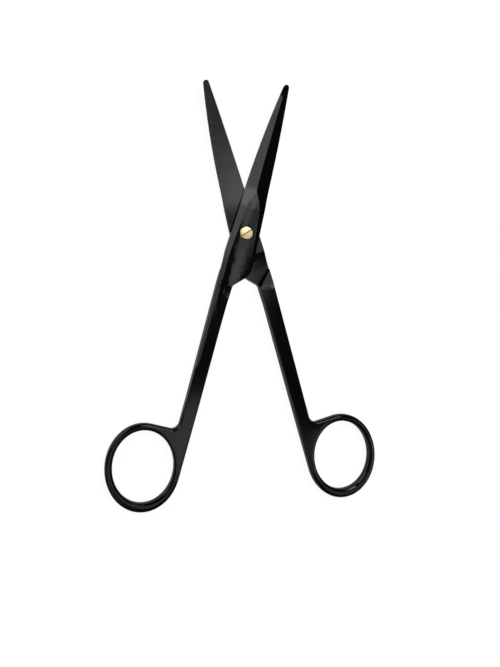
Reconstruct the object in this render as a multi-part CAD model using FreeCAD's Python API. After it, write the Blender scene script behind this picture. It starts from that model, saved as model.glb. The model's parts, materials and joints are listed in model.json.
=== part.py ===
import FreeCAD, Part
import math
import os
from FreeCAD import Vector

# Facelift scissors: two forged halves that cross at a slotted pivot screw.
# Each half is modelled upright in its own frame: the pivot at the origin, the tip
# towards +Y, the cutting side and the finger ring towards -X, and +Z pointing from
# its inner face to its outer one. Both halves are then opened about the pivot and
# laid flat. All sizes are in millimetres.

# Overall
bladeLength = 53.0              # pivot to tip
shankLength = 102.0             # pivot to the far end of the ring
openingAngle = 30.92            # between the two halves as they lie, in degrees
facingGap = 0.04                # running gap between the two inner faces

# Blade, from the joint to the tip
bladeRoot = 13.0                # where the blade leaves the joint
cuttingRootX = 4.2              # cutting side, distance from the axis at the root
cuttingMiddleX = 2.83
cuttingTipX = 0.72
spineRootX = 4.46               # spine side
spineMiddleX = 3.38
spineTipX = 1.26
tipRound = 0.85                 # length of the rounded tip
ridgeRootX = -0.42              # the ridge between the two bevels
ridgeTipX = -0.16
ridgeRootHeight = 2.42          # above the inner face
ridgeTipHeight = 1.0
bladeLift = 3.1                 # rise of the curved tip
liftStart = 12.2                # distance from the pivot where the curve begins

# Joint
jointThickness = 2.6            # one half, inner face to outer flat
jointHalfWidth = 5.32
jointWidestY = -7.5             # below this the sides run straight
crownRadius = 30.0              # the outer face is crowned across the joint
crownX = 0.7                    # the line where it is highest
cuttingWallBlade = 0.25         # wall left under the bevel at the cutting edge
cuttingWallTop = 1.15           # the same wall at the top of the joint
cuttingWallBottom = 1.4         # and at its bottom
spineWallBlade = 0.55
spineWallTop = 1.45
spineWallBottom = 1.87
wallRunOut = 14.9               # where the joint's side walls have run out
wallFull = 10.2                 # where they have their full height
wallBottomY = -11.0
cuttingBevelSlope = 0.60        # rise of each bevel, per mm across
spineBevelSlope = 0.50
rollOffStart = -12.0            # the outer face rolls off to the shank from here
rollOffRadius = 90.0
rollOffEnd = -29.0

# Shoulder, where the joint narrows to the shank
shoulderCornerY = -10.6
shoulderLineY = -17.4           # a point of the slanted line, at shoulderLineX
shoulderLineX = 1.5
shoulderConvex = 6.0
shoulderConcave = 1.6

# Shank
shankOuterX = 5.15
shankOuterNeckX = 5.45          # outer edge where it meets the ring
shankInnerTopX = 0.03           # inner edge at the joint
shankInnerRingX = 0.60          # inner edge at the ring
shankThickness = 3.6
shankEdgeRadius = 0.35
edgeBlendLength = 11.0          # over this length the edges grow to the ring's rounding
bevelWall = 1.12                # wall left under the long bevel on the shank's outer edge
bevelTopY = -20.0               # the bevel keeps its width from here
bevelBottomY = -47.5            # to here
bevelRunOut = 4.0               # and has run out after this length
bevelRise = 0.83                # by rising this far, past the shank's outer flat

# Step and relief on the inner side, between joint and shank
stepOuterY = -15.0              # top edge of the step at the shank's outer edge
stepInnerY = -19.8              # and at its inner edge
stepLean = 25.0                 # degrees from upright
rampOuterY = -21.5              # the ramp behind the step reaches full height here
rampInnerY = -20.6
rampSlope = 0.12
reliefStartY = -8.0
reliefRampLength = 2.4
reliefDepth = 0.28

# Finger ring
holeMajor = 12.45               # half axes of the finger hole
holeMinor = 10.55
ringWallSide = 2.40
ringWallEnds = 2.85
ringLean = 12.0                 # the hole's long axis leans away from the shank
holeOffsetY = 0.38              # the hole sits this much nearer to the joint
ringEdgeRadius = 1.13
neckRadius = 2.6                # fillet between the shank and the web over the ring
edgeSteps = 5                   # flat strips that make up each rounded edge
edgeShare = 0.45                # no edge is rounded by more than this much of its wall

# Pivot screw
headRadius = 2.3
headDepth = 1.0                 # let into the joint's outer flat
headProud = 0.12
headDome = 0.14
headCorner = 0.22
headGap = 0.22                  # ring of air round the head
seatGap = 0.02
slotWidth = 0.55
slotDepth = 0.6
slotAngle = 33.0
journalRadius = 1.5
journalClearance = 0.05
threadRadius = 1.2

# Helpers
bulk = 20.0                     # reach of the cutting tools past the part
poleStep = 3.0                  # spacing of the bevel surfaces' poles
poleMargin = 3 * poleStep       # these surfaces run this far past what they shape
barOverlap = 5.0                # the shank's bar reaches this far into the joint

halfShank = shankThickness / 2
innerFace = facingGap / 2
jointEnd = stepOuterY + barOverlap
reach = bulk / 2                # half width of the surfaces that shape the outer face


def smooth(value, start, end):
    """Nought at start, one at end, with soft ends."""
    t = min(1.0, max(0.0, (value - start) / (end - start)))
    return t * t * (3 - 2 * t)


def between(y, places):
    """Straight interpolation through (y, value) pairs given from low to high."""
    if y <= places[0][0]:
        return places[0][1]
    for (y0, v0), (y1, v1) in zip(places, places[1:]):
        if y <= y1:
            return v0 + (v1 - v0) * (y - y0) / (y1 - y0)
    return places[-1][1]


def lift(y):
    """Rise of the curved blade at a distance from the pivot."""
    share = max(0.0, y - liftStart) / (bladeLength - liftStart)
    return bladeLift * share * share


def bulged(y, root, middle, tip):
    """A blade edge as a parabola through its root, middle and tip."""
    end = bladeLength - tipRound
    t = (y - bladeRoot) / (end - bladeRoot)
    return root + (tip - root) * t + (4 * middle - 2 * root - 2 * tip) * t * (1 - t)


def cuttingX(y):
    if y >= bladeRoot:
        return -bulged(y, cuttingRootX, cuttingMiddleX, cuttingTipX)
    return -between(y, [(jointWidestY, jointHalfWidth), (bladeRoot, cuttingRootX)])


def spineX(y):
    if y >= bladeRoot:
        return bulged(y, spineRootX, spineMiddleX, spineTipX)
    return between(y, [(jointWidestY, jointHalfWidth), (bladeRoot, spineRootX)])


def ridgeX(y):
    return between(y, [(bladeRoot, ridgeRootX), (bladeLength, ridgeTipX)])


def ridgeHeight(y):
    return between(y, [(bladeRoot, ridgeRootHeight), (bladeLength, ridgeTipHeight)])


def cutterAbove(xs, low, high, height):
    """Everything above a surface whose poles stand at height(x, y)."""
    count = int((high - low) / poleStep) + 1
    rows = [low + index * poleStep for index in range(count)]
    poles = [[Vector(x, y, height(x, y)) for y in rows] for x in xs]
    knots = [float(number) for number in range(count - 2)]
    ends = [4] + [1] * (len(knots) - 2) + [4]
    degree = len(xs) - 1
    surface = Part.BSplineSurface()
    surface.buildFromPolesMultsKnots(
        poles, [degree + 1] * 2, ends, [0.0, 1.0], knots, False, False, degree, 3)
    return surface.toShape().extrude(Vector(0, 0, bulk))


def bevelCutter(side, curve):
    """Everything above one bevel; side is -1 for cutting and 1 for spine."""
    if side < 0:
        edge, wallBlade, slopeJoint = cuttingX, cuttingWallBlade, cuttingBevelSlope
        walls = [(bevelBottomY - bevelRunOut, bevelWall + bevelRise), (bevelBottomY, bevelWall),
                 (bevelTopY, bevelWall), (wallBottomY, cuttingWallBottom), (wallFull, cuttingWallTop)]
        low = bevelBottomY - bulk
    else:
        edge, wallBlade, slopeJoint = spineX, spineWallBlade, spineBevelSlope
        walls = [(wallBottomY, spineWallBottom), (wallFull, spineWallTop)]
        low = rollOffEnd + poleStep

    def height(x, y):
        bladeShare = smooth(y, wallFull, wallRunOut)
        wallJoint = between(y, walls)
        wall = wallJoint + (wallBlade - wallJoint) * bladeShare
        atEdge = edge(min(y, bladeLength - tipRound))
        slopeBlade = (ridgeHeight(y) - wallBlade) / abs(atEdge - ridgeX(y))
        slope = slopeJoint + (slopeBlade - slopeJoint) * bladeShare
        return wall + curve * lift(y) + innerFace + slope * (atEdge - x) * side

    return cutterAbove([-side * reach / 2, side * reach], low, bladeLength + poleMargin, height)


def line(a, b):
    return Part.LineSegment(a, b).toShape()


def prism(edges, low, high):
    wire = Part.Wire(Part.__sortEdges__(edges))
    face = Part.Face(wire)
    face.translate(Vector(0, 0, low))
    return face.extrude(Vector(0, 0, high - low))


def roundCorner(a, corner, b, radius):
    """Start, middle and end of an arc that rounds the corner of a to b."""
    u = (a - corner).normalize()
    v = (b - corner).normalize()
    half = u.getAngle(v) / 2
    start = corner + u * (radius / math.tan(half))
    end = corner + v * (radius / math.tan(half))
    middle = corner + (u + v).normalize() * (radius / math.sin(half) - radius)
    return start, middle, end


def bladeEdge(root, middle, tip):
    """A blade edge as one curve, the parabola of bulged()."""
    curve = Part.BezierCurve()
    end = bladeLength - tipRound
    pole = 2 * middle - (root + tip) / 2
    curve.setPoles([Vector(root, bladeRoot, 0), Vector(pole, (bladeRoot + end) / 2, 0), Vector(tip, end, 0)])
    return curve.toShape()


def bladeOutline():
    """Outline of blade, joint and shoulder, down into the shank."""
    tipY = bladeLength - tipRound
    tipLeft = Vector(-cuttingTipX, tipY, 0)
    tipRight = Vector(spineTipX, tipY, 0)
    tipTop = Vector((spineTipX - cuttingTipX) / 2, bladeLength, 0)
    rootLeft = Vector(-cuttingRootX, bladeRoot, 0)
    rootRight = Vector(spineRootX, bladeRoot, 0)
    wideLeft = Vector(-jointHalfWidth, jointWidestY, 0)
    wideRight = Vector(jointHalfWidth, jointWidestY, 0)
    lowLeft = Vector(-shankOuterX, rollOffEnd, 0)
    lowRight = Vector(shankInnerX(rollOffEnd), rollOffEnd, 0)
    slantTop = shoulderLineX + (shoulderCornerY - shoulderLineY)
    cornerY = shoulderCornerY - (slantTop - jointHalfWidth)
    corner = Vector(jointHalfWidth, cornerY, 0)
    innerX = shankInnerX(shoulderLineY)
    foot = Vector(innerX, shoulderLineY - (shoulderLineX - innerX), 0)
    convex = roundCorner(wideRight, corner, foot, shoulderConvex)
    concave = roundCorner(corner, foot, lowRight, shoulderConcave)
    return [
        bladeEdge(-cuttingRootX, -cuttingMiddleX, -cuttingTipX),
        Part.Arc(tipLeft, tipTop, tipRight).toShape(),
        bladeEdge(spineRootX, spineMiddleX, spineTipX),
        line(rootRight, wideRight),
        line(wideRight, convex[0]),
        Part.Arc(*convex).toShape(),
        line(convex[2], concave[0]),
        Part.Arc(*concave).toShape(),
        line(concave[2], lowRight),
        line(lowRight, lowLeft),
        line(lowLeft, wideLeft),
        line(wideLeft, rootLeft),
    ]


def shankInnerX(y):
    share = (y - shoulderLineY) / (ringCentre().y - shoulderLineY)
    return -(shankInnerTopX + (shankInnerRingX - shankInnerTopX) * share)


def ringAxes():
    lean = math.radians(90 + ringLean)
    return Vector(math.cos(lean), math.sin(lean), 0), Vector(math.sin(lean), -math.cos(lean), 0)


def ringSemiAxes():
    return holeMajor + ringWallEnds, holeMinor + ringWallSide


def ringCentre():
    """Centre of the ring's outer ellipse, from the part's end and the shank's edge."""
    major, minor = ringSemiAxes()
    u, v = ringAxes()
    reachX = math.hypot(major * u.x, minor * v.x)
    reachY = math.hypot(major * u.y, minor * v.y)
    return Vector(-shankInnerRingX - reachX, -shankLength + reachY, 0)


def ringNormal(angle):
    major, minor = ringSemiAxes()
    u, v = ringAxes()
    return (u * (minor * math.cos(angle)) + v * (major * math.sin(angle))).normalize()


def ellipseAngle(major, minor, normal):
    """Where on the ring's ellipse the outward normal points this way."""
    u, v = ringAxes()
    return math.atan2(minor * normal.dot(v), major * normal.dot(u))


def ellipseArc(centre, major, minor, start, end):
    """Arc of a leaning ellipse; its angle starts on the long axis."""
    u, v = ringAxes()
    ellipse = Part.Ellipse(centre + u * major, centre + v * minor, centre)
    return Part.ArcOfEllipse(ellipse, start, end).toShape()


def roundingLevels():
    """Inset and depth of each line along a rounded edge, as shares of its radius."""
    turns = [math.radians(90.0 * step / edgeSteps) for step in range(edgeSteps + 1)]
    return [(1 - math.cos(turn), 1 - math.sin(turn)) for turn in turns]


def edgeRadii():
    """Radius of the long edges: fine along the shank, full round the ring."""
    fine = min(shankEdgeRadius, edgeShare * shankThickness)
    full = min(ringEdgeRadius, edgeShare * ringWallSide, edgeShare * shankThickness)
    return fine, full


def innerTangent():
    """The ring's normal where the shank's inner edge runs tangent into its flank."""
    major, minor = ringSemiAxes()
    u, v = ringAxes()
    away = Vector(shankInnerX(jointEnd), jointEnd, 0) - ringCentre()
    across, along = away.dot(v) / minor, away.dot(u) / major
    angle = math.atan2(across, along) + math.acos(1 / math.hypot(across, along))
    return ringNormal(angle)


def barOutline(share, depthShare, side):
    """One line round shank and ring; share and depthShare place it on the rounded edge."""
    fine, full = [radius * share for radius in edgeRadii()]
    high = [side * (halfShank - radius * depthShare) for radius in edgeRadii()]
    onShank, onRing = [Vector(0, 0, level) for level in high]
    major, minor = [axis - full for axis in ringSemiAxes()]
    normal = innerTangent()
    # Inner edge, straight from the joint to the ring's flank.
    top = Vector(shankInnerX(jointEnd), jointEnd, 0)
    flankAt = ellipseAngle(major, minor, normal)
    flank = ringCentre() + ellipseOffset(major, minor, flankAt)
    blendY = ringTop() + edgeBlendLength
    towards = (ringCentre() + ellipseOffset(*ringSemiAxes(), ellipseAngle(*ringSemiAxes(), normal))) - top
    blendInner = top + towards * ((blendY - top.y) / towards.y)
    # Outer edge, down to the fillet and the web that runs level over the ring.
    up = Vector(0, 1, 0)
    webAt = ellipseAngle(major, minor, up)
    web = ringCentre() + ellipseOffset(major, minor, webAt)
    blendOuter = Vector(-shankOuterX + fine, blendY, 0)
    corner = Vector(-shankOuterNeckX + full, web.y, 0)
    fillet = [point + onRing for point in roundCorner(web, corner, blendOuter, neckRadius + full)]
    inset = normal * fine
    ring = ellipseArc(ringCentre() + onRing, major, minor, flankAt, webAt + 2 * math.pi)
    points = [Vector(-shankOuterX + fine, jointEnd, 0) + onShank, top - inset + onShank,
              blendInner - inset + onShank, flank + onRing]
    return [line(points[0], points[1]), line(points[1], points[2]), line(points[2], points[3]), ring,
            line(web + onRing, fillet[0]), Part.Arc(*fillet).toShape(),
            line(fillet[2], blendOuter + onShank), line(blendOuter + onShank, points[0])]


def ellipseOffset(major, minor, angle):
    u, v = ringAxes()
    return u * (major * math.cos(angle)) + v * (minor * math.sin(angle))


def ringTop():
    up = Vector(0, 1, 0)
    axes = ringSemiAxes()
    return (ringCentre() + ellipseOffset(*axes, ellipseAngle(*axes, up))).y


def skin(levels):
    """A solid from closed lines of matching edges, joined by straight strips."""
    faces = [Part.Face(Part.Wire(levels[0])), Part.Face(Part.Wire(levels[-1]))]
    for lower, upper in zip(levels, levels[1:]):
        faces += [Part.makeRuledSurface(a, b) for a, b in zip(lower, upper)]
    shell = Part.Shell(faces)
    shell.sewShape()
    solid = Part.Solid(shell)
    return solid if solid.Volume > 0 else solid.reversed()


def shankAndRing():
    """Shank and ring as one flat bar with rounded edges, before it meets the joint."""
    rounding = roundingLevels()
    bar = skin([barOutline(*shares, -1) for shares in reversed(rounding)]
               + [barOutline(*shares, 1) for shares in rounding])
    full = edgeRadii()[1]
    # The finger hole's edges are rounded the same way, and its cutter reaches past both flats.
    lines = [(full, bulk)] + [(full * inset, halfShank - full * depth) for inset, depth in reversed(rounding)]
    lines += [(inset, -height) for inset, height in reversed(lines)]
    hole = skin([[ellipseArc(holeCentre() + Vector(0, 0, height), holeMajor + inset, holeMinor + inset,
                             0, 2 * math.pi)] for inset, height in lines])
    return bar.cut(hole)


def holeCentre():
    return ringCentre() + Vector(0, holeOffsetY, 0)


def wedge(a, b, away, slope):
    """Everything on one side of a plane through a and b that climbs by slope, going away."""
    along = (b - a).normalize()
    up = (away * slope + Vector(0, 0, 1)).normalize()
    corner = a - along * bulk - away * bulk - Vector(0, 0, slope * bulk)
    side = away * (2 * bulk) + Vector(0, 0, 2 * slope * bulk)
    length = along * (2 * bulk + (b - a).Length)
    plane = Part.Face(Part.makePolygon([corner, corner + length, corner + length + side, corner + side, corner]))
    return plane.extrude(up * -bulk)


def stepCutters():
    """The sloped step at the joint, and the ramp behind it, on the inner side."""
    outer = Vector(-shankOuterX, stepOuterY, -halfShank)
    inner = Vector(-shankInnerTopX, stepInnerY, -halfShank)
    rampOuter = Vector(-shankOuterX, rampOuterY, -halfShank)
    rampInner = Vector(-shankInnerTopX, rampInnerY, -halfShank)
    along = (inner - outer).normalize()
    across = Vector(-along.y, along.x, 0)
    lean = math.tan(math.radians(stepLean))
    foot = Vector(0, 0, -bulk)
    # The wall leans towards the joint, from the step's top edge up into the body.
    section = Part.makePolygon([
        outer - across * (lean * bulk) + foot, outer + across * bulk + foot,
        outer + across * bulk - foot, outer + across * (lean * bulk) - foot,
        outer - across * (lean * bulk) + foot])
    wall = Part.Face(section).extrude(along * (2 * bulk))
    wall.translate(along * -(bulk / 2))
    rampAlong = (rampInner - rampOuter).normalize()
    return [wall, wedge(rampOuter, rampInner, Vector(-rampAlong.y, rampAlong.x, 0), rampSlope)]


def rollOff(y):
    """Drop of the outer face below the joint's flat, on its way to the shank."""
    past = max(0.0, rollOffStart - y)
    return rollOffRadius - math.sqrt(rollOffRadius ** 2 - past ** 2)


def topCutter():
    """Everything above the joint's crowned outer face and its roll-off to the shank."""
    crown = reach ** 2 / (2 * crownRadius)

    def height(x, y):
        level = jointThickness - rollOff(y)
        return level + crown if x == crownX else level - crown

    xs = [crownX - reach, crownX, crownX + reach]
    return cutterAbove(xs, rollOffEnd - poleMargin, bladeRoot + poleMargin, height)


def innerCutter(curve):
    """Everything under the inner face, a surface turned about the pivot axis."""
    rim = bladeLength + poleMargin
    share = (rim - liftStart) / (bladeLength - liftStart)
    start = Vector(liftStart, 0, innerFace)
    bend = Vector((liftStart + rim) / 2, 0, innerFace)
    end = Vector(rim, 0, innerFace + curve * bladeLift * share * share)
    profile = Part.BezierCurve()
    profile.setPoles([start, bend, end])
    centre, low, lowRim = Vector(0, 0, innerFace), Vector(0, 0, -bulk), Vector(rim, 0, -bulk)
    edges = [line(low, centre), line(centre, start), profile.toShape(), line(end, lowRim), line(lowRim, low)]
    return turned(edges)


def turned(edges):
    face = Part.Face(Part.Wire(Part.__sortEdges__(edges)))
    return face.revolve(Vector(0, 0, 0), Vector(0, 0, 1), 360)


def reliefCutter():
    """The shallow relief on the inner face between the bearing flat and the step."""
    deep = innerFace + reliefDepth
    corners = [Vector(-bulk, reliefStartY, innerFace), Vector(-bulk, reliefStartY - reliefRampLength, deep),
               Vector(-bulk, rollOffEnd - 1, deep), Vector(-bulk, rollOffEnd - 1, -bulk),
               Vector(-bulk, reliefStartY, -bulk), Vector(-bulk, reliefStartY, innerFace)]
    return Part.Face(Part.makePolygon(corners)).extrude(Vector(2 * bulk, 0, 0))


def makeHalf(curve):
    """One half, upright. curve is 1 when the blade bends out of its inner face."""
    blade = prism(bladeOutline(), -bulk / 2, bulk / 2)
    for tool in (topCutter(), innerCutter(curve), reliefCutter()):
        blade = blade.cut(tool)
    bar = shankAndRing()
    for tool in stepCutters():
        bar = bar.cut(tool)
    half = blade.fuse(bar)
    for side in (-1, 1):
        half = half.cut(bevelCutter(side, curve))
    return half.removeSplitter()


def cylinder(radius, low, high):
    return Part.makeCylinder(radius, high - low, Vector(0, 0, low))


def makePivotScrew():
    """Slotted shoulder screw, with its contact plane at nought."""
    seat = jointThickness - headDepth + seatGap
    rim = jointThickness + headProud
    flat = headRadius - headCorner
    # The head: a chamfered rim and a low dome.
    profile = [Vector(0, 0, seat), Vector(headRadius, 0, seat), Vector(headRadius, 0, rim - headCorner),
               Vector(flat, 0, rim)]
    dome = Part.BezierCurve()
    dome.setPoles([profile[-1], Vector(flat / 2, 0, rim + headDome), Vector(0, 0, rim + headDome)])
    sides = [line(a, b) for a, b in zip(profile, profile[1:])]
    head = turned(sides + [dome.toShape(), line(Vector(0, 0, rim + headDome), profile[0])])
    journal = cylinder(journalRadius, -innerFace, seat + seatGap)
    thread = cylinder(threadRadius, -jointThickness, 0)
    screw = head.fuse(journal).fuse(thread).removeSplitter()
    slot = Part.makeBox(bulk, slotWidth, bulk, Vector(-bulk / 2, -slotWidth / 2, rim - slotDepth))
    slot.rotate(Vector(0, 0, 0), Vector(0, 0, 1), slotAngle)
    return screw.cut(slot)


def main():
    up = Vector(0, 0, 1)
    centre = Vector(0, 0, 0)
    upper = makeHalf(1)
    upper = upper.cut(cylinder(journalRadius + journalClearance, -bulk, bulk))
    upper = upper.cut(cylinder(headRadius + headGap, jointThickness - headDepth, bulk))
    upper.rotate(centre, up, -openingAngle / 2)
    lower = makeHalf(-1)
    lower = lower.cut(cylinder(threadRadius, -bulk, bulk))
    lower.rotate(centre, Vector(0, 1, 0), 180)
    lower.rotate(centre, up, openingAngle / 2)
    parts = {"upper_half": upper, "lower_half": lower, "pivot_screw": makePivotScrew()}
    os.makedirs("parts", exist_ok=True)
    for name, shape in parts.items():
        shape.translate(Vector(0, 0, jointThickness))
        solid = shape.Solids[0] if len(shape.Solids) == 1 else shape
        print(name, "solids", len(shape.Solids), "valid", shape.isValid())
        print("  volume", round(shape.Volume, 2), "faces", len(shape.Faces))
        solid.exportStep("parts/" + name + ".step")


main()
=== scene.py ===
# Facelift scissors: two black coated halves on a gold pivot screw, lying open on a pale floor.
import json
import math
import bmesh
import bpy
from mathutils import Matrix, Vector

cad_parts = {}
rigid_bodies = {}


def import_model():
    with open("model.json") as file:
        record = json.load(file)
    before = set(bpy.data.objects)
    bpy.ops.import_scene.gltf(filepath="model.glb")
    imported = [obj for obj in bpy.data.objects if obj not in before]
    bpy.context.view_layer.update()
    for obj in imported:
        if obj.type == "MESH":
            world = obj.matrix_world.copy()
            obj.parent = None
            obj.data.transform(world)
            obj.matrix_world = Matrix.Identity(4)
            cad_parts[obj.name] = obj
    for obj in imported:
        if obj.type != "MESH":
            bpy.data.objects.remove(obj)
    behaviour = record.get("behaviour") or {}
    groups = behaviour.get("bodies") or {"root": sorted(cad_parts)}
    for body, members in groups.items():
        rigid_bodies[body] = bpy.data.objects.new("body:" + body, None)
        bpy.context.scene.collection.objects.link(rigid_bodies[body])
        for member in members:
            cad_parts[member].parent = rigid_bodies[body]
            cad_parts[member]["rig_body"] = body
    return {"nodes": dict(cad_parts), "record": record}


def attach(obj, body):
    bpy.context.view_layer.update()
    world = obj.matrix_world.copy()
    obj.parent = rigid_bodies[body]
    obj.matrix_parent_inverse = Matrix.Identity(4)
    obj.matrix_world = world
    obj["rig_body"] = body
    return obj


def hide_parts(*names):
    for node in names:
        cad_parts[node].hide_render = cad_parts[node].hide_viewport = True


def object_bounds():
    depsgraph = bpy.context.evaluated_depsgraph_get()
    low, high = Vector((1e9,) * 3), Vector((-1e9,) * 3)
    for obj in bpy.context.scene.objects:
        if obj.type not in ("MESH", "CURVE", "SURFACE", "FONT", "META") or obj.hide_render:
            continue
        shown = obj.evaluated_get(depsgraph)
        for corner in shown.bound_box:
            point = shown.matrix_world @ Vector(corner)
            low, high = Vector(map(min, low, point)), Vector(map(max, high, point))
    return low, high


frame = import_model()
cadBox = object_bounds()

scene = bpy.context.scene
print("frame loaded, nodes", sorted(frame["nodes"]))

# Camera, as the photograph was taken: lengths in metres, angles in degrees
camera = {
    "yaw": 16.0,                  # how far it stands to the left of the screw
    "pitch": 2.8,
    "roll": 0.14,
    "distance": 0.2845,           # along the view, from the lens to the screw
    "focalPixels": 817.35,
    "screwPixel": (244.64, 233.37),
    "imagePixels": (500, 667),
    "filmWidth": 36.0,            # millimetres
    "nearest": 0.01,              # what is nearer or farther than these isn't drawn
    "farthest": 20.0,
}

# Lamps: soft panels in one plane over the floor. across and along give their edges sideways and away,
# in metres for each metre of height; level is the brightness that a mirror would show
lamps = {
    "overheadFar": {"across": (0.20, 0.43), "along": (0.135, 0.19), "level": 3.6},
    "overheadLeft": {"across": (0.085, 0.20), "along": (0.085, 0.26), "level": 1.35},
    "overheadNear": {"across": (0.10, 0.30), "along": (-0.06, 0.072), "level": 1.55},
    "overheadRight": {"across": (0.30, 0.50), "along": (0.0, 0.085), "level": 0.95},
    "sky": {"across": (0.05, 0.48), "along": (0.27, 0.50), "level": 7.5},
    "web": {"across": (0.04, 0.21), "along": (-0.52, -0.27), "level": 0.95},
    "lowRight": {"across": (0.42, 0.60), "along": (-0.60, -0.36), "level": 0.6},
    "nearLeft": {"across": (-0.36, -0.13), "along": (-0.80, -0.14), "level": 1.2},
    "right": {"across": (0.74, 1.06), "along": (-0.75, -0.30), "level": 3.9},
    "rightUpper": {"across": (0.72, 0.86), "along": (-0.30, -0.05), "level": 2.1},
    "tipWindow": {"across": (-3.0, -1.18), "along": (0.70, 2.0), "level": 1.9},
    "farWindow": {"across": (-1.10, -0.75), "along": (0.80, 1.60), "level": 3.6},
    "window": {"across": (-1.16, -0.72), "along": (0.42, 0.80), "level": 1.9},
    "windowFoot": {"across": (-1.20, -0.95), "along": (0.12, 0.42), "level": 1.1},
    "lowLeft": {"across": (-0.78, -0.50), "along": (-0.95, -0.35), "level": 0.75},
}

studio = {
    "lampHeight": 0.4,
    "surroundings": 0.07,         # brightness of all that is no lamp, away from the camera's own view
}

floorSizes = {
    "halfWidth": 3.0,
    "albedo": 0.20,               # how much of the lamps' light it gives back
    "glow": 0.93,                 # brightness in the camera's view and in reflections
}

# Lengths are in metres from here on. The scales count a texture's features for each metre
coating = {
    "colour": (0.0305, 0.0305, 0.032),
    "tint": (0.0345, 0.034, 0.0365),
    "tintScale": 60.0,
    "tintDetail": 3.0,
    "edgeTint": 0.50,             # how far the coating lacks a bright rim at a flat angle
    "roughness": 0.12,
    "roughnessSpread": 0.04,
    "grainScale": 2600.0,
    "grainDetail": 2.0,
    "grainDepth": 0.0000012,
}

# Behind the screw the upper half's outer face climbs to a low shoulder, then falls gently along the
# shank. Lengths run from the screw along the handle, or to its left
shoulder = {
    "handleTurn": 15.5,           # degrees from straight down to the handle's line, at rest
    "start": 0.0085,
    "top": 0.0195,
    "foot": 0.033,
    "bend": 5.5,                  # how fast the slope grows, per metre
    "cutEvery": 0.0004,           # the faces are cut across this often, so that they can bend
    "snap": 0.00001,              # a corner this near a cut moves onto it
    "sideStart": 0.0022,          # between these two the shoulder fades out towards the left bevel
    "sideEnd": 0.004,
    "sideCuts": 4,
    "middle": 0.0026,             # height at which the halves meet
    "clear": 0.0003,              # the inner faces, this near the middle, stay as they are
    "spread": 0.0015,             # the walls stretch over this height
}

halves = {
    "mergeDistance": 0.000002,    # corners nearer than this become one
    "crispAngle": 19.0,           # degrees, edges sharper than this stay crisp
}

gold = {
    "colour": (0.97, 0.82, 0.52),
    # painted shade: the slot's floor is coloured darker and browner than the head, standing in for
    # the shade inside the recess
    "slotShadeColour": (0.40, 0.29, 0.14),
    "slotFloorTop": 0.00495,      # the slot's floor lies below this height, the head above it
    "roughness": 0.42,
    "roughnessSpread": 0.08,
    "cloudScale": 900.0,
    "cloudDetail": 3.0,
    "ringScale": 5200.0,
    "ringDepth": 0.0000006,
}

# Facts about Blender's nodes
noiseMiddle = 0.5
colourSockets = {"first": 6, "second": 7, "result": 2}    # of the Mix node, when it mixes colours


def grey(level):
    return (level, level, level, 1.0)


class Signal:
    # A value in a shader: + - and * on it add Math nodes
    def __init__(self, board, socket):
        self.board = board
        self.socket = socket

    def maths(self, operation, first, second):
        node = self.board.add("ShaderNodeMath", {"operation": operation}, {0: first, 1: second})
        return self.board.signal(node, 0)

    def __add__(self, other):
        return self.maths("ADD", self, other)

    def __radd__(self, other):
        return self.maths("ADD", other, self)

    def __sub__(self, other):
        return self.maths("SUBTRACT", self, other)

    def __rsub__(self, other):
        return self.maths("SUBTRACT", other, self)

    def __mul__(self, other):
        return self.maths("MULTIPLY", self, other)

    def __rmul__(self, other):
        return self.maths("MULTIPLY", other, self)


class Board:
    # The node tree of one material
    def __init__(self, name):
        self.material = bpy.data.materials.new(name)
        self.material.use_nodes = True
        self.tree = self.material.node_tree
        self.tree.nodes.clear()
        self.output = self.add("ShaderNodeOutputMaterial")

    def add(self, kind, settings=None, sockets=None):
        node = self.tree.nodes.new(kind)
        for name, value in (settings or {}).items():
            setattr(node, name, value)
        for name, value in (sockets or {}).items():
            if isinstance(value, Signal):
                self.tree.links.new(value.socket, node.inputs[name])
            else:
                node.inputs[name].default_value = value
        return node

    def signal(self, node, name):
        return Signal(self, node.outputs[name])

    def place(self):
        return self.signal(self.add("ShaderNodeTexCoord"), "Object")

    def noise(self, scale, detail):
        node = self.add("ShaderNodeTexNoise", None,
                        {"Vector": self.place(), "Scale": scale, "Detail": detail})
        return self.signal(node, "Fac")

    def mixColour(self, factor, first, second):
        node = self.add("ShaderNodeMix", {"data_type": "RGBA"},
                        {"Factor": factor, colourSockets["first"]: (*first, 1.0),
                         colourSockets["second"]: (*second, 1.0)})
        return self.signal(node, colourSockets["result"])

    def axes(self):
        parts = self.add("ShaderNodeSeparateXYZ", None, {"Vector": self.place()})
        return [self.signal(parts, axis) for axis in "XYZ"]

    def bump(self, height):
        # The height is in metres
        node = self.add("ShaderNodeBump", None, {"Height": height, "Distance": 1.0, "Strength": 1.0})
        return self.signal(node, "Normal")

    def finish(self, sockets):
        shader = self.add("ShaderNodeBsdfPrincipled", None, sockets)
        self.tree.links.new(shader.outputs[0], self.output.inputs["Surface"])
        return self.material


def makeCoating():
    board = Board("blackCoating")
    cloud = board.noise(coating["tintScale"], coating["tintDetail"])
    grain = board.noise(coating["grainScale"], coating["grainDetail"])
    return board.finish({
        "Base Color": board.mixColour(cloud, coating["colour"], coating["tint"]),
        "Metallic": 1.0,
        "Specular Tint": grey(coating["edgeTint"]),
        "Roughness": coating["roughness"] + (cloud - noiseMiddle) * coating["roughnessSpread"],
        "Normal": board.bump(grain * coating["grainDepth"]),
    })


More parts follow.
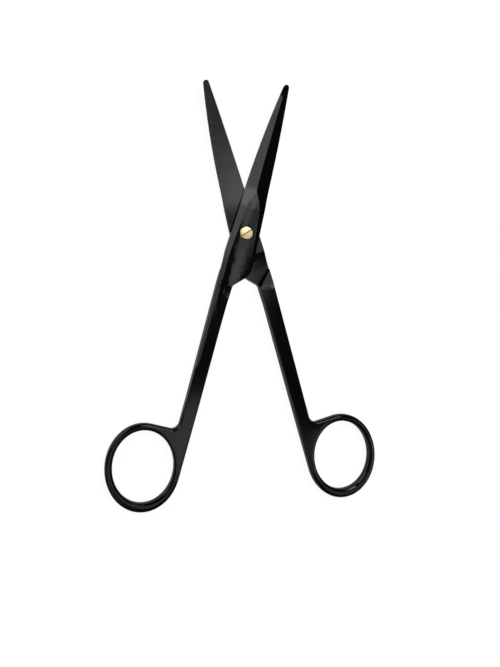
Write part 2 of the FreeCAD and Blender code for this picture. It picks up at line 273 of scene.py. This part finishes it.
def makeGold():
    board = Board("goldScrew")
    x, y, z = board.axes()
    squares = x * x + y * y
    radius = squares.maths("POWER", squares, 1 / 2)
    rings = radius.maths("SINE", radius * gold["ringScale"], 0.0)
    # below this height lies the slot's floor, which gets the painted slot shade instead of the gold
    sunk = z.maths("LESS_THAN", z, gold["slotFloorTop"])
    cloud = board.noise(gold["cloudScale"], gold["cloudDetail"])
    return board.finish({
        "Base Color": board.mixColour(sunk, gold["colour"], gold["slotShadeColour"]),
        "Metallic": 1.0,
        "Roughness": gold["roughness"] + (cloud - noiseMiddle) * gold["roughnessSpread"],
        "Normal": board.bump(rings * gold["ringDepth"]),
    })


def dress(nodeName, material):
    # The CAD's own piece, given a material
    piece = frame["nodes"][nodeName]
    for slot in piece.material_slots:
        slot.material = material


def fade(value, start, end):
    # 1 before the start, 0 after the end, and a soft curve between
    share = (value - start) / (end - start)
    return (1 + math.cos(math.pi * min(max(share, 0.0), 1.0))) / 2


def shoulderRise(along, aside, height):
    # How far a corner moves up, by its place along the handle, to its left, and above the inner face
    reach = shoulder["top"] - shoulder["start"]
    rise = min(max(along - shoulder["start"], 0.0), reach) ** 2 * shoulder["bend"] / 2
    stretch = min(max(height / shoulder["spread"], 0.0), 1.0)
    return (rise * stretch * fade(along, shoulder["top"], shoulder["foot"])
            * fade(aside, shoulder["sideStart"], shoulder["sideEnd"]))


def cutAcross(form, faces, place, direction):
    # Cuts the faces by a plane at a place along the direction
    region = {part for face in faces for part in (face, *face.edges, *face.verts)}
    bmesh.ops.bisect_plane(form, geom=list(region), dist=shoulder["snap"], plane_co=direction * place,
                           plane_no=direction)


def raiseShoulder(form):
    turn = math.radians(shoulder["handleTurn"])
    handle = Vector((-math.sin(turn), -math.cos(turn), 0.0))
    left = Vector((-math.cos(turn), math.sin(turn), 0.0))
    start, foot = shoulder["start"], shoulder["foot"]
    cuts = round((foot - start) / shoulder["cutEvery"])
    for index in range(cuts + 1):
        cutAcross(form, list(form.faces), start + index * (foot - start) / cuts, handle)
    sideStart, sideEnd = shoulder["sideStart"], shoulder["sideEnd"]
    for index in range(shoulder["sideCuts"] + 1):
        near = [face for face in form.faces if start < face.calc_center_median().dot(handle) < foot]
        cutAcross(form, near, sideStart + index * (sideEnd - sideStart) / shoulder["sideCuts"], left)
    for vertex in form.verts:
        height = vertex.co.z - shoulder["middle"] - shoulder["clear"]
        vertex.co.z += shoulderRise(vertex.co.dot(handle), vertex.co.dot(left), height)


def makeHalf(nodeName, pieceName, material):
    # A merged copy of a half, whose narrow strips round the edges are shaded as one curve
    node = frame["nodes"][nodeName]
    mesh = bpy.data.meshes.new(pieceName)
    form = bmesh.new()
    form.from_mesh(node.data)
    bmesh.ops.remove_doubles(form, verts=form.verts, dist=halves["mergeDistance"])
    if nodeName == "upper_half":
        raiseShoulder(form)
    for face in form.faces:
        face.smooth = True
        face.material_index = 0
    form.to_mesh(mesh)
    form.free()
    if "custom_normal" in mesh.attributes:
        mesh.attributes.remove(mesh.attributes["custom_normal"])
    mesh.set_sharp_from_angle(angle=math.radians(halves["crispAngle"]))
    draft = bpy.data.objects.new(pieceName + "Draft", mesh)
    scene.collection.objects.link(draft)
    weighted = draft.modifiers.new("flatsFirst", "WEIGHTED_NORMAL")
    weighted.keep_sharp = True
    graph = bpy.context.evaluated_depsgraph_get()
    finished = bpy.data.meshes.new_from_object(draft.evaluated_get(graph))
    bpy.data.objects.remove(draft)
    finished.materials.clear()
    finished.materials.append(material)
    piece = bpy.data.objects.new(pieceName, finished)
    scene.collection.objects.link(piece)
    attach(piece, node["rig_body"])
    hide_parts(nodeName)
    print(pieceName, "faces", len(finished.polygons))


def makeFloor():
    half = floorSizes["halfWidth"]
    low = cadBox[0].z
    mesh = bpy.data.meshes.new("floor")
    corners = [(-half, -half, low), (half, -half, low), (half, half, low), (-half, half, low)]
    mesh.from_pydata(corners, [], [(0, 1, 2, 3)])
    floor = bpy.data.objects.new("floor", mesh)
    scene.collection.objects.link(floor)
    board = Board("paleFloor")
    path = board.add("ShaderNodeLightPath")
    seen = board.signal(path, "Is Camera Ray")
    for other in ("Is Glossy Ray", "Is Transmission Ray"):
        seen = seen.maths("MAXIMUM", seen, board.signal(path, other))
    diffuse = board.add("ShaderNodeBsdfDiffuse", None, {"Color": grey(floorSizes["albedo"])})
    glow = board.add("ShaderNodeEmission", None,
                     {"Color": grey(1.0), "Strength": seen * floorSizes["glow"]})
    both = board.add("ShaderNodeAddShader", None,
                     {0: board.signal(diffuse, 0), 1: board.signal(glow, 0)})
    board.tree.links.new(both.outputs[0], board.output.inputs["Surface"])
    mesh.materials.append(board.material)


def makeLamps():
    height = studio["lampHeight"]
    for name, values in lamps.items():
        left, right = values["across"]
        near, far = values["along"]
        lamp = bpy.data.lights.new(name, "AREA")
        lamp.shape = "RECTANGLE"
        lamp.size, lamp.size_y = (right - left) * height, (far - near) * height
        lamp.energy = values["level"] * math.pi * lamp.size * lamp.size_y
        holder = bpy.data.objects.new(name, lamp)
        holder.location = ((left + right) / 2 * height, (near + far) / 2 * height, height)
        scene.collection.objects.link(holder)


def makeWorld():
    # Dim for the lamps' sake, but as pale as the floor where the camera sees past the floor's edge
    world = bpy.data.worlds.new("studio")
    world.use_nodes = True
    backdrop = world.node_tree.nodes["Background"]
    path = world.node_tree.nodes.new("ShaderNodeLightPath")
    levels = world.node_tree.nodes.new("ShaderNodeMapRange")
    levels.inputs["To Min"].default_value = studio["surroundings"]
    levels.inputs["To Max"].default_value = floorSizes["glow"]
    world.node_tree.links.new(path.outputs["Is Camera Ray"], levels.inputs["Value"])
    world.node_tree.links.new(levels.outputs["Result"], backdrop.inputs["Strength"])
    backdrop.inputs["Color"].default_value = grey(1.0)
    scene.world = world


def makeCamera():
    lens = bpy.data.cameras.new("camera")
    width, height = camera["imagePixels"]
    lens.sensor_width = camera["filmWidth"]
    lens.lens = camera["focalPixels"] * camera["filmWidth"] / height
    lens.clip_start = camera["nearest"]
    lens.clip_end = camera["farthest"]
    turn = Matrix.Identity(3)
    for name, axis in (("roll", "Z"), ("pitch", "X"), ("yaw", "Y")):
        turn = turn @ Matrix.Rotation(math.radians(camera[name]), 3, axis)
    metresPerPixel = camera["distance"] / camera["focalPixels"]
    pixelX, pixelY = camera["screwPixel"]
    offset = Vector(((pixelX - width / 2) * metresPerPixel, (height / 2 - pixelY) * metresPerPixel,
                     -camera["distance"]))
    pivot = Vector(frame["record"]["behaviour"]["joints"][0]["pos_m"])
    holder = bpy.data.objects.new("camera", lens)
    holder.rotation_mode = "QUATERNION"
    holder.rotation_quaternion = turn.transposed().to_quaternion()
    holder.location = pivot - turn.transposed() @ offset
    scene.collection.objects.link(holder)
    scene.camera = holder


scene.view_settings.view_transform = "Standard"
makeCamera()
print("camera placed")
makeLamps()
makeWorld()
makeFloor()
print("lamps and floor placed")
black = makeCoating()
makeHalf("upper_half", "upperHalfCoated", black)
makeHalf("lower_half", "lowerHalfCoated", black)
dress("pivot_screw", makeGold())
print("materials given")
